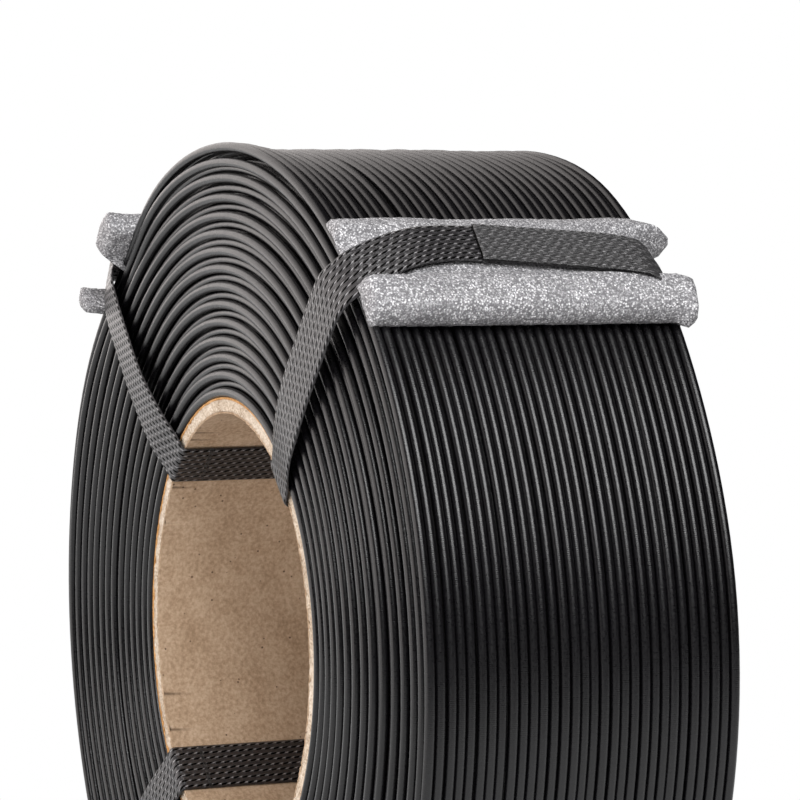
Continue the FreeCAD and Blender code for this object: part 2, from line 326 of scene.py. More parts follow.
def webbing_material(name, dark, light, crest_glint_colour, slot_depth, swell_share, fibre_share):
    """Black polyester strap woven from flat bundles of shiny threads. The bundles part round short slanting
    slots in eight columns, each column half a pitch on from the next; little light gets into the slots, so
    they are painted dark in colour and gloss as painted shade, and a thin light dash between them is a
    painted glint."""
    material, tree, shader = new_material(name, Roughness=0.29, IOR=1.6,
                                          Sheen_Weight=0.03, Sheen_Roughness=0.4)
    flat = flat_place(tree)
    split = add_node(tree, "ShaderNodeSeparateXYZ", Vector=flat)

    def result(operation, *values):
        return calculate(tree, operation, *values)

    def fade_out(distance, reach, power):
        """1 at a mark's middle, falling to 0 at its end or side."""
        share = result("POWER", result("ABSOLUTE", result("DIVIDE", distance, reach)), power)
        return result("MAXIMUM", result("SUBTRACT", 1.0, share), 0.0)

    column = result("DIVIDE", split.outputs["Y"], COLUMN)
    stagger = result("MULTIPLY", result("PINGPONG", result("FLOOR", column), 1.0), 0.5)
    steps = result("ADD", result("DIVIDE", split.outputs["X"], SLOT_PITCH), stagger)
    from_middle = result("SUBTRACT", result("FRACT", column), 0.5)

    def slanting_mark(steps, length, width):
        """A short mark in each column, once in each pitch, that slants across its column."""
        along = result("SUBTRACT", result("FRACT", steps), 0.5)
        across = result("MULTIPLY_ADD", along, SLOT_SLANT, from_middle)
        return result("MULTIPLY", fade_out(along, length, 4.0), fade_out(across, width, 3.0))

    slot = slanting_mark(steps, 0.4, 0.21)
    # Halfway between two slots the top of each bundle gets a thin light dash: a painted glint
    crest_glint = slanting_mark(result("ADD", steps, 0.5), 0.36, 0.1)
    # The bundles rise between the slots
    wave_along = result("COSINE", result("MULTIPLY", split.outputs["X"], 2 * math.pi / SLOT_PITCH))
    wave_across = result("SINE", result("MULTIPLY", column, math.pi))
    swell = result("MULTIPLY", wave_along, wave_across)
    # Fine threads run along the strap
    fibre_place = add_node(tree, "ShaderNodeVectorMath", {"operation": "MULTIPLY"},
                           i0=flat, i1=(0.6, 2.6, 1.0))
    fibre = noise(tree, fibre_place.outputs["Vector"], 1.3)
    thread = result("MULTIPLY_ADD", slot, -slot_depth, 1.0)
    swollen = result("MULTIPLY_ADD", swell, swell_share, thread)
    height = result("MULTIPLY_ADD", fibre, fibre_share, swollen)
    # Tone and gloss: the slots are painted dark, as shade where little light gets in; the threads keep their
    # own grey; the dashes carry a painted glint
    slot_shade_and_glint = result("MULTIPLY_ADD", crest_glint, 0.4, result("MULTIPLY", thread, 0.6))
    tone = stepped_colour(tree, slot_shade_and_glint, [(0.18, dark), (0.54, light), (0.62, light), (0.95, crest_glint_colour)])
    vary(tree, shader,
         Base_Color=tone,
         Specular_IOR_Level=fit_range(tree, thread, 0.2, 0.9, 0.02, 0.5),
         Normal=small_relief(tree, height, 1.0, 0.3))
    return material


def foam_material():
    """Grey expanded polyethylene foam, cut from sheet: very small closed cells of uneven tone, painted darker
    away from their middles as shade between them, and some painted near white as a glint."""
    material, tree, shader = new_material("grey_polyethylene_foam", IOR=1.5, Subsurface_Weight=0.15,
                                          Subsurface_Radius=(0.002, 0.002, 0.002), Subsurface_Scale=1.0)
    solid = body_place(tree)
    cell = add_node(tree, "ShaderNodeTexVoronoi", {"feature": "F1"}, Vector=solid, Scale=3.2)
    chosen = add_node(tree, "ShaderNodeSeparateColor", Color=cell.outputs["Color"])
    patchy = calculate(tree, "MULTIPLY_ADD", noise(tree, solid, 0.5), 0.35, chosen.outputs["Red"])
    # The cells are painted darker away from their middles, as shade between them, and the brightest ones near
    # white, as a painted glint
    cell_tone_shade_and_glint = calculate(tree, "MULTIPLY_ADD", cell.outputs["Distance"], -0.9, patchy)
    vary(tree, shader,
         Base_Color=stepped_colour(tree, cell_tone_shade_and_glint, [(0.0, "#706f72"), (0.25, "#969597"), (0.5, "#a5a4a7"),
                                                (0.85, "#ecebed")]),
         Roughness=fit_range(tree, cell_tone_shade_and_glint, 0.3, 0.8, 0.6, 0.25),
         Normal=small_relief(tree, cell.outputs["Distance"], 0.7, 0.16, invert=True))
    return material


def paper_material(name, pale, mid, dark, fleck_share, grain_size):
    """Recycled paper, pressed and glued: dull, with a cloudy tone, short fibres and a few dark flecks."""
    material, tree, shader = new_material(name, Roughness=0.88, IOR=1.5, Specular_IOR_Level=0.3)
    solid = body_place(tree)
    cloud = noise(tree, solid, 0.16, 3.0)
    grain = noise(tree, solid, 1 / grain_size, 3.0, Roughness=0.65)
    clouded = calculate(tree, "MULTIPLY_ADD", cloud, 0.3, calculate(tree, "MULTIPLY", grain, 0.7))
    tone = stepped_colour(tree, clouded, [(0.36, dark), (0.5, mid), (0.64, pale)])
    fleck = add_node(tree, "ShaderNodeTexVoronoi", Vector=solid, Scale=0.42)
    in_fleck = calculate(tree, "LESS_THAN", fleck.outputs["Distance"], fleck_share)
    flecked = add_node(tree, "ShaderNodeMix", {"data_type": "RGBA"}, Factor=in_fleck,
                       i6=tone, i7=hex_colour("#5c4634"))
    vary(tree, shader, Base_Color=flecked.outputs[2], Normal=small_relief(tree, grain, 0.3, 0.15))
    return material


filament = filament_material()
# Colours of each strap: painted shade in the slots, the threads' own grey, and a painted glint on the dashes
webbing = webbing_material("black_polyester_webbing", "#030303", "#282628", "#929092",
                           slot_depth=1.0, swell_share=0.1, fibre_share=0.9)
# Where the strap's ends are welded together, its threads are pressed flat
pressed_webbing = webbing_material("black_polyester_webbing_welded", "#121213", "#3f3e3f", "#868486",
                                   slot_depth=0.4, swell_share=0.0, fibre_share=2.2)
# The strap's cut end, melted so that it doesn't fray; its dull near-black is partly the strap's own black and
# partly painted shade along the lap's cut end
melted_end_and_shade, _, _ = new_material("melted_polyester_end_and_shade", Base_Color=hex_colour("#060606"), Roughness=0.8,
                                Specular_IOR_Level=0.1)
foam = foam_material()
kraft = paper_material("brown_kraft_ply", "#cdb49a", "#bca186", "#a4896e", 0.085, 0.7)
grey_board = paper_material("grey_recycled_board_cut_end", "#e6d9ca", "#cfbda8", "#a28b75", 0.05, 0.45)
tan_paper = paper_material("tan_paper_ply", "#dcae7c", "#c8945c", "#a87847", 0.05, 0.8)


# The winding

# The strap at the upper left draws the front's outermost strands in: how far, round which angle, how widely,
# from which radius and over what length
DRAWN_IN = 1.7
DRAWN_IN_ANGLE = 135.0
DRAWN_IN_SPREAD = 13.0
DRAWN_IN_RADIUS = 80.0
DRAWN_IN_REACH = 6.0
# The back rim stands out near the top and lies in below it at the right: how far, at which angle, how widely
BACK_SWELLS = [(1.9, 76.0, 18.0), (-0.5, 34.0, 16.0)]
# The share of a turn that a strand takes to step over, and half the share that it takes to climb a layer
CROSSING = 0.09
CLIMB = 0.07
# How much of each step over is made evenly all the way round
STEP_SLANT = 0.12
# The outermost strands of the front face lie higher than their layers
RIM_RISE = 0.8
RIM_RISE_RADIUS = 79.0
RIM_RISE_REACH = 8.0
# The first turns of the outer layer stand proud of the rest
RIM_BEAD = 1.2
# Where the filament starts beside the core, and where it ends under a pad
START_ANGLE = 229.5
FINISH_ANGLE = 137.5
# One gap between two turns is wider near the top: after which turn, how wide, at which angle and how widely
GAP_TURN = 7.6
GAP_WIDTH = 0.45
GAP_ANGLE = 72.0
GAP_SPREAD = 26.0
# How unevenly the outer turns lie, sideways and in height, and after how many turns that changes
UNEVEN = 0.2
UNEVEN_TURNS = 0.9
# How far the layers in between lie behind the side faces, and below the strands at the rim
FILL_DEPTH = 2.9
FILL_GAP = 0.4
# How far in from the back face the outer layer's last turn lies
LAST_TURN_IN = 0.1
# Where each pair of layers meets: round which angle at the front and at the back, and how far off it at most
FRONT_MEETING = 268
BACK_MEETING = 100
MEETING_SPREAD = 30
front_turn_angles = FRONT_MEETING + chance.uniform(-MEETING_SPREAD, MEETING_SPREAD, LAYER_COUNT // 2)
back_turn_angles = BACK_MEETING + chance.uniform(-MEETING_SPREAD, MEETING_SPREAD, LAYER_COUNT // 2)


def layer_radius(number):
    return FIRST_RADIUS + LAYER_RISE * number


def front_setback(radius, angle):
    """How far the front face lies back: it is dished at the core, leans back at the rim's right side and is
    drawn in by the strap at the upper left."""
    radii, at_right, at_left = np.array(FRONT_FACE, float).T
    right = np.interp(radius, radii, at_right)
    left = np.interp(radius, radii, at_left)
    near_strap = hump(angle, DRAWN_IN_ANGLE, DRAWN_IN_SPREAD)
    drawn_in = DRAWN_IN * near_strap * ease((radius - DRAWN_IN_RADIUS) / DRAWN_IN_REACH)
    return (right + left) / 2 + (right - left) / 2 * np.cos(np.radians(angle)) + drawn_in


def back_setback(radius):
    radii, amount = np.array(BACK_FACE, float).T
    return np.interp(radius, radii, amount)


def back_lean(angle):
    """How far the back rim stands out."""
    return sum(amount * hump(angle, middle, spread) for amount, middle, spread in BACK_SWELLS)


def wander(turns, size):
    """A slow random drift along a strand."""
    total = np.zeros_like(turns)
    for waves in (1.0, 2.3, 4.1):
        total = total + np.sin(turns * waves * 2 * math.pi + chance.uniform(0, 6.28)) / waves
    return total * size


def tube_points(path, sides):
    """Rings of points round a path, and their place on the unrolled strand."""
    ahead = unit(np.gradient(path, axis=0))
    outward = square_to(from_axis(path), ahead)
    sideways = np.cross(ahead, outward)
    turn = np.linspace(0, 2 * math.pi, sides, endpoint=False)
    reach = WIRE / 2
    rings = (path[:, None] + reach * np.cos(turn)[None, :, None] * outward[:, None]
             + reach * np.sin(turn)[None, :, None] * sideways[:, None])
    flat = np.stack(np.broadcast_arrays(length_along(path)[:, None], (turn * reach)[None]), axis=-1)
    return rings.reshape(-1, 3), flat.reshape(-1, 2)


def strands(name, paths, sides=STRAND_SIDES):
    """One piece made of strands, each a closed tube along its path."""
    points = []
    flats = []
    faces = []
    ends = []
    count = 0
    for path in paths:
        ring_points, flat = tube_points(path, sides)
        # The rim stands on a small flat
        ring_points[:, 2] = np.maximum(ring_points[:, 2], 0.0)
        last_ring = count + (len(path) - 1) * sides
        faces += grid_faces(len(path), sides, close_columns=True, first=count)
        ends.append([count + side for side in reversed(range(sides))])
        ends.append([last_ring + side for side in range(sides)])
        points.append(ring_points)
        flats.append(flat)
        count += len(ring_points)
    return make_piece(name, np.concatenate(points), faces + ends, filament, np.concatenate(flats))


def rest_from_face(turns):
    """How far a strand is from the face after this many turns from where it turns back. Each turn lies in
    the grooves of the turns below, half a pitch off them, and steps over at the end of the turn."""
    past = np.abs(turns)
    whole = np.floor(past + CROSSING / 2)
    stepped = whole - 1 + ease((past - whole + CROSSING / 2) / CROSSING)
    stepped = np.where(past < 0.5, 0.0, np.maximum(stepped, 0.0))
    groove = np.where(turns > 0, 0.5 * ease(turns / CROSSING), 0.0)
    return PITCH * (groove + stepped * (1 - STEP_SLANT) + np.clip(past - groove, 0, None) * STEP_SLANT)


def climbed(turns):
    """The share of the climb from one layer to the next that is done."""
    return ease((turns + CLIMB) / (2 * CLIMB))


def end_turn_path(turns, lower_layer, turn_angle, face):
    """Where two layers meet at a side face: the strand comes in on one, climbs and leaves on the next."""
    radius = layer_radius(lower_layer) + LAYER_RISE * climbed(turns) + wander(turns, 0.06)
    if face == "front":
        radius = radius + RIM_RISE * ease((radius - RIM_RISE_RADIUS) / RIM_RISE_REACH)
    angle = turn_angle + 360 * turns
    rest = rest_from_face(turns) + wander(turns, 0.05) + np.abs(wander(turns, 0.18)) * ease(turns / 0.2)
    if face == "front":
        along = -HALF_WIDTH + WIRE / 2 + front_setback(radius, angle) + rest
    else:
        along = HALF_WIDTH - WIRE / 2 - back_setback(radius) - rest
    return around(radius, angle, along)


def turn_steps(first, last):
    return np.linspace(first, last, int((last - first) * STEPS_PER_TURN) + 1)


def make_side_turns():
    """The turns that show on the front and on the back."""
    steps = turn_steps(-END_TURNS, END_TURNS)
    pairs = range(LAYER_COUNT // 2 - 1)
    front_paths = [end_turn_path(steps, 2 * pair, front_turn_angles[pair], "front") for pair in pairs]
    back_paths = [end_turn_path(steps, 2 * pair + 1, back_turn_angles[pair], "back") for pair in pairs]
    # The filament starts at the back, beside the core
    start_steps = turn_steps(0, END_TURNS)
    start_along = HALF_WIDTH - WIRE / 2 - back_setback(FIRST_RADIUS) - PITCH * start_steps
    back_paths.append(around(layer_radius(0), START_ANGLE + 360 * start_steps, start_along))
    return strands("front_turns", front_paths), strands("back_turns", back_paths)


def outer_path():
    """The outer layer: it comes up from the layer below at the front and winds to the back rim, where its
    end lies under a pad."""
    last_turn = front_turn_angles[-1]
    finish = OUTER_TURNS + (FINISH_ANGLE - last_turn) / 360
    steps = turn_steps(-END_TURNS, finish)
    angle = last_turn + 360 * steps
    radius = layer_radius(LAYER_COUNT - 2) + LAYER_RISE * climbed(steps)
    # It stands proud once it has climbed, and sinks to its layer over nearly four turns
    radius = radius + RIM_BEAD * ease((steps + 0.2) / 0.3) * ease((4.0 - steps) / 3.6)
    front_edge = -HALF_WIDTH + WIRE / 2 + front_setback(radius, angle)
    back_edge = HALF_WIDTH - WIRE / 2 - LAST_TURN_IN + back_lean(angle)
    outer_share = np.clip(steps, 0, None) / finish
    spread = (back_edge - front_edge) * outer_share
    lower_part = rest_from_face(np.clip(steps, None, 0))
    past_gap = ease((steps - GAP_TURN) / 0.5 + 0.5) - outer_share
    wide_gap = GAP_WIDTH * hump(angle, GAP_ANGLE, GAP_SPREAD) * past_gap
    # The turns lie a little unevenly beside each other, and some stand a little higher
    knots = np.arange(-END_TURNS, finish + 1, UNEVEN_TURNS)
    drift = np.interp(steps, knots, chance.uniform(-UNEVEN, UNEVEN, len(knots)))
    rise = np.interp(steps, knots, chance.uniform(-UNEVEN, UNEVEN, len(knots))) * ease(steps)
    return around(radius + rise, angle, front_edge + spread + lower_part + wide_gap + drift)


def make_inner_layers():
    """The layers in between, which only show as darkness between the strands."""
    outermost = layer_radius(LAYER_COUNT - 1) - WIRE / 2 - FILL_GAP
    radii, angles = np.meshgrid(np.linspace(CORE_RADIUS + 0.3, outermost, 12),
                                np.linspace(0, 360, 96, endpoint=False))
    front_side = around(radii, angles, -HALF_WIDTH + front_setback(radii, angles) + FILL_DEPTH)
    back_side = around(radii, angles, HALF_WIDTH - back_setback(radii) - FILL_DEPTH)
    section = np.concatenate([front_side, back_side[:, ::-1]], axis=1)
    faces = grid_faces(section.shape[0], section.shape[1], close_rows=True, close_columns=True)
    degree_length = 0.8
    flat = np.stack([angles * degree_length, radii], axis=-1)
    flat = np.concatenate([flat, flat[:, ::-1]], axis=1)
    return make_piece("inner_layers", section.reshape(-1, 3), faces, filament, flat.reshape(-1, 2))


def make_winding():
    front, back = make_side_turns()
    outer = strands("outer_turns", [outer_path()], OUTER_STRAND_SIDES)
    fill = make_inner_layers()
    for piece in (front, back, fill):
        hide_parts("wound_body")
    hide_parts("outer_layer")
    for piece in (front, back, fill, outer):
        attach(piece, "root")


# The core tube

# How far a cut end's noise may go, in times its usual size
RAGGED_LIMIT = 1.6


def make_ply(name, node, inside, outside, material, raggedness):
    """One ply of the core tube: a ring whose two cut ends are uneven."""
    steps = 420
    corner = 0.3
    wall = np.linspace(CORE_FRONT + corner, CORE_BACK - corner, 10)
    across = np.linspace(inside, outside, 7)
    # Once round a cut through the ply: along its inside, over the back end, along its outside, over the front
    radius = np.concatenate([np.full(len(wall), inside), across, np.full(len(wall), outside), across[::-1]])
    along = np.concatenate([wall, np.full(len(across), CORE_BACK),
                            wall[::-1], np.full(len(across), CORE_FRONT)])
    rough = chance.normal(0, raggedness, (steps, len(radius)))
    limit = RAGGED_LIMIT * raggedness
    rough = np.abs(np.clip((rough + np.roll(rough, 1, axis=0)) / 2, -limit, limit))
    at_front = along < CORE_FRONT + corner / 2
    at_back = along > CORE_BACK - corner / 2
    angles = np.linspace(0, 360, steps, endpoint=False)[:, None]
    points = around(radius, angles, along + rough * at_front - rough * at_back)
    faces = grid_faces(steps, len(radius), close_rows=True, close_columns=True)
    piece = make_piece(name, points.reshape(-1, 3), faces, material)
    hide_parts(node)
    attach(piece, "root")


def make_core():
    """The three plies, from the bore outwards."""
    board_inside = CORE_BORE_RADIUS + INNER_LINER
    board_outside = board_inside + BOARD_WALL
    make_ply("kraft_bore_ply", "core_inner_liner", CORE_BORE_RADIUS, board_inside,
             kraft, raggedness=0.34)
    make_ply("board_wall", "core_board", board_inside, board_outside,
             grey_board, raggedness=0.28)
    make_ply("tan_outer_ply", "core_outer_liner", board_outside, CORE_RADIUS,
             tan_paper, raggedness=0.05)


# The straps

# The strap's radius in the bore, and how far its middle lies off the coil's face
BORE_RUN = 40.35
OFF_FACE = 0.65
# How deep it lies at the core's end, at the front and at the back
FRONT_SINK = HALF_WIDTH + OFF_FACE + CORE_FRONT - 0.4
BACK_SINK = HALF_WIDTH - CORE_BACK
# It runs askew over the pad: its angle is this much more at the front, and this much less at the back. At the
# back rim its angle is less than at the front one
PAD_SKEW = 0.6
BACK_SKEW = 1.4
# Where the strap turns from the side face over the rim and the pad's end, at the front and at the back: its
# radius, how far in from the face, and its share of the rim's angle
FRONT_SHOULDER = [(90.9, 2.4, 1.0), (92.9, 7.0, 0.6), (94.6, 14.0, 0.2)]
BACK_SHOULDER = [(90.9, 3.0, 1.0), (94.5, 6.3, 0.6), (94.8, 10.0, 0.3)]
# Where the pad stands out in front of the face by more than this, the strap goes straight on to the pad's top
# and bends there
STANDS_OUT = 2.0
SHARP_SHOULDER = [(91.0, 1.4, 1.0), (96.0, 2.6, 0.9), (95.6, 8.0, 0.4)]
# Over the pad the strap lies tilted: its upper edge is sunk in at the right, and its lower one at the left
PAD_TILT = math.radians(4.5)
# Over the front it is twisted, with its upper edge proud
FRONT_TWIST = math.radians(5.0)
# The lap starts 25 mm behind the front face and reaches over the back rim. It is shifted a little sideways on
# the strap below it, and its cut end is askew, over the first few millimetres
LAP_START = 25.0 - HALF_WIDTH
LAP_LENGTH = 54.0
LAP_SHIFT = -0.4
LAP_LIFT = STRAP_THICKNESS + 0.15
LAP_SLANT = 0.6
LAP_SLANT_REACH = 6.0
PATH_STEP = 0.5


def cut_corners(corners, rounds=4):
    """A smooth closed path by cutting the corners off again and again; straight runs stay straight."""
    for _ in range(rounds):
        ahead = np.roll(corners, -1, axis=0)
        pairs = np.stack([corners * 0.75 + ahead * 0.25, corners * 0.25 + ahead * 0.75], axis=1)
        corners = pairs.reshape(-1, corners.shape[1])
    return corners


def even_path(path, spacing):
    """The same closed path with points at an even spacing."""
    loop = np.concatenate([path, path[:1]])
    length = length_along(loop)
    places = np.arange(0, length[-1] - spacing / 2, spacing)
    return np.stack([np.interp(places, length, loop[:, axis]) for axis in range(3)], axis=1)


def side_corners(bore_angle, rim_angle, pad_angle, sink, shoulder):
    """The strap's way from the bore over one side face to the pad's middle: each corner's radius, depth in
    from the face and angle. sink is how deep it lies at the core's end."""
    turn = rim_angle - bore_angle
    over_rim = [(radius, depth, rim_angle * share + pad_angle * (1 - share))
                for radius, depth, share in shoulder]
    return [
        (BORE_RUN, 12.0, bore_angle),
        (BORE_RUN, sink + 1.25, bore_angle),
        (BORE_RUN, sink, bore_angle),
        (43.6, sink - 0.25, bore_angle + turn * 0.12),
        (50.0, sink * 0.35, bore_angle + turn * 0.45),
        (62.0, 0.0, bore_angle + turn * 0.85),
        (75.0, 0.0, bore_angle + turn * 0.98),
        (82.0, 0.0, rim_angle),
        (87.2, 0.2, rim_angle),
        *over_rim,
        (STRAP_TOP_RADIUS, 22.0, pad_angle),
    ]


def strap_path(place):
    """The strap's middle line: up the front, back over the pad, down the back and through the bore."""
    shoulder = SHARP_SHOULDER if place.pad_front < -STANDS_OUT else FRONT_SHOULDER
    front = side_corners(place.in_bore, place.at_rim, place.over_pad + PAD_SKEW, FRONT_SINK, shoulder)
    back = side_corners(place.in_bore, place.at_rim - BACK_SKEW, place.over_pad - PAD_SKEW, BACK_SINK,
                        BACK_SHOULDER)
    face = HALF_WIDTH + OFF_FACE
    corners = [(radius, angle, depth - face) for radius, depth, angle in front]
    corners += [(radius, angle, face - depth) for radius, depth, angle in reversed(back)]
    radius, angle, along = cut_corners(np.array(corners, float)).T
    return even_path(around(radius, angle, along), PATH_STEP)


def strap_section():
    """The strap's outline, cut across, with thin edges: how far across and how high each point lies."""
    share = np.linspace(-1, 1, 21)
    edge = (1 - np.abs(share) ** 10) ** 0.5
    across = share * STRAP_WIDTH / 2
    high = edge * STRAP_THICKNESS / 2
    return np.concatenate([across, across[-2:0:-1]]), np.concatenate([high, -high[-2:0:-1]])


def make_ribbon(name, path, material, closed, shift=0.0, lift=0.0, slant=0.0, twist=0.0):
    """A flat strap along a path, its width lying round the coil. shift moves it sideways and lift outwards,
    slant moves its first end's edges along the strap, and twist turns it where it runs over the front."""
    if closed:
        ahead = unit(np.roll(path, -1, axis=0) - np.roll(path, 1, axis=0))
    else:
        ahead = unit(np.gradient(path, axis=0))
    round_way = square_to(np.cross(unit(from_axis(path)), [0, 1, 0]), ahead)
    normal = np.cross(ahead, round_way)
    section_across, section_high = strap_section()
    radius = axis_distance(path)
    # It is twisted on the front face, clear of the core, and tilted on the pad
    over_front = ease((1.5 - HALF_WIDTH - path[:, 1]) / 2.0) * ease((radius - 46.0) / 16.0)
    tilt = (PAD_TILT * ease((radius - 91.0) / 3.4) + twist * over_front)[:, None]
    across = (section_across + shift) * np.cos(tilt) + (section_high + lift) * np.sin(tilt)
    high = (section_high + lift) * np.cos(tilt) - (section_across + shift) * np.sin(tilt)
    points = path[:, None] + across[..., None] * round_way[:, None] + high[..., None] * normal[:, None]
    length = length_along(path)[:, None]
    askew = np.clip(1 - length / LAP_SLANT_REACH, 0, 1) * (section_across / STRAP_WIDTH) * slant
    points = points + askew[..., None] * ahead[:, None]
    flat = np.stack(np.broadcast_arrays(length, section_across + STRAP_WIDTH / 2), axis=-1)
    rows, per_row = points.shape[:2]
    faces = grid_faces(rows, per_row, close_rows=closed, close_columns=True)
    if not closed:
        faces.append(list(reversed(range(per_row))))
        faces.append([(rows - 1) * per_row + place for place in range(per_row)])
    piece = make_piece(name, points.reshape(-1, 3), faces, material, flat.reshape(-1, 2))
    if not closed:
        # The cut ends get the dull near-black that partly paints the shade along the lap's cut end
        piece.data.materials.append(melted_end_and_shade)
        for end in piece.data.polygons[-2:]:
            end.material_index = 1
            end.use_smooth = False
    return piece


def make_strap(name):
    """One strap: the loop, and the end that laps over it on the pad."""
    place = PLACES[name]
    path = strap_path(place)
    twist = -math.copysign(FRONT_TWIST, math.cos(math.radians(place.at_rim)))
    strap = make_ribbon("strap_loop_" + name, path, webbing, closed=True, twist=twist)
    over_pad = np.where(axis_distance(path) > STRAP_TOP_RADIUS - 0.6)[0]
    start = over_pad[np.argmin(np.abs(path[over_pad, 1] - LAP_START))]
    lapped = (start + np.arange(int(LAP_LENGTH / PATH_STEP))) % len(path)
    lap = make_ribbon("strap_lap_" + name, path[lapped], pressed_webbing, closed=False,
                      shift=LAP_SHIFT, lift=LAP_LIFT, slant=LAP_SLANT)
    for piece in (strap, lap):
        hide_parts("strap_" + name)
        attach(piece, "root")


# The foam pads. Upper and lower are said of the pads at the right; at the left the two sides change places

# The thickness across a pad, from its lower edge to its upper one: a thick lower flap, the part under the
# strap, and an upper flap that is drawn down to the coil
PAD_PROFILE = [(-12.75, 4.6), (-11.0, 5.8), (-8.0, 6.3), (-6.0, 6.1), (-4.6, 5.4), (0.0, 4.75), (4.6, 4.1),
               (6.6, 4.2), (9.0, 3.7), (11.2, 3.0), (12.75, 2.1)]
# What the strap leaves of the thickness, this far in from the winding's edge, at the front and at the back
EDGE_PLACES = [-4.0, 1.75, 6.3, 13.3, 21.3]
FRONT_LINE = [-2.8, 0.8, 2.6, 4.2, 4.7]
BACK_LINE = [-2.8, 1.0, 3.9, 4.6, 4.7]
THINNEST = 0.35
# Its corners are a little rounded, and so are its long edges. At the back the upper flap is rolled over and
# reaches out, and the lower one hangs down past the rim
PAD_CORNER = 1.2
EDGE_ROUNDING = 1.6
END_REACH = 12.0
ROLL_REACH = 2.6
ROLL_THICKNESS = 3.6
HANG = 1.1
# Under the strap the pad's ends don't reach the winding's edge
HELD_IN = 2.6
FOAM_GRID = (0.62, 0.62, 0.12)
FOAM_ROUGHNESS = 0.035


def grid_block(size, cell):
    """Points and faces of a closed block on a fine grid. size is its lengths, and cell the grid's steps."""
    counts = [max(int(round(length / step)), 2) for length, step in zip(size, cell)]
    index_of = {}
    points = []
    faces = []

    def point_index(key):
        if key not in index_of:
            index_of[key] = len(points)
            points.append([key[axis] / counts[axis] * size[axis] for axis in range(3)])
        return index_of[key]

    for axis in range(3):
        first, second = (axis + 1) % 3, (axis + 2) % 3
        for side in (0, counts[axis]):
            for a in range(counts[first]):
                for b in range(counts[second]):
                    square = []
                    for step_a, step_b in ((0, 0), (1, 0), (1, 1), (0, 1)):
                        key = [0, 0, 0]
                        key[axis] = side
                        key[first] = a + step_a
                        key[second] = b + step_b
                        square.append(point_index(tuple(key)))
                    faces.append(square if side else square[::-1])
    return np.array(points), faces


def rolled_end(height):
    """How far a rolled end lies back at this height on it."""
    share = np.clip(np.abs(height - 4.1) / 4.7, 0, 1)
    return 6.5 * (1 - np.sqrt(1 - share ** 2))


def corner_cut(across):
    """How far a rounded corner draws the pad's end back at this place across it."""
    inside = np.clip(PAD_CORNER - (PAD_WIDTH / 2 - np.abs(across)), 0, PAD_CORNER)
    return PAD_CORNER - np.sqrt(PAD_CORNER ** 2 - inside ** 2)


def foam_thickness(place, across, along, coil_along, beside):
    """The pad's thickness. beside is 0 under the strap and 1 on the flaps."""
    profile_across, profile_thick = np.array(PAD_PROFILE).T
    thick = np.interp(across, profile_across, profile_thick)
    if math.cos(math.radians(place.pad)) < 0:
        # The pads on the left have two thick flaps
        thick = np.maximum(thick, np.interp(-across, profile_across, profile_thick))
    long_lump = 0.12 * np.sin(along * 0.31 + across * 0.22 + place.at_rim)
    short_lump = 0.10 * np.sin(along * 0.13 - across * 0.5)
    thick = thick + (long_lump + short_lump) * beside
    # The strap draws the foam down towards the winding's edges
    from_edge = HALF_WIDTH - np.abs(coil_along)
    front_line = np.interp(from_edge, EDGE_PLACES, FRONT_LINE)
    back_line = np.interp(from_edge, EDGE_PLACES, BACK_LINE)
    strap_line = np.where(coil_along < 0, front_line, back_line)
    strap_line = strap_line - across * math.tan(PAD_TILT) * ease((from_edge - 2.0) / 10.0)
    pressed = np.minimum(thick, strap_line * (1 - beside) + thick * beside)
    return np.maximum(np.where(beside < 1, pressed, thick), THINNEST)


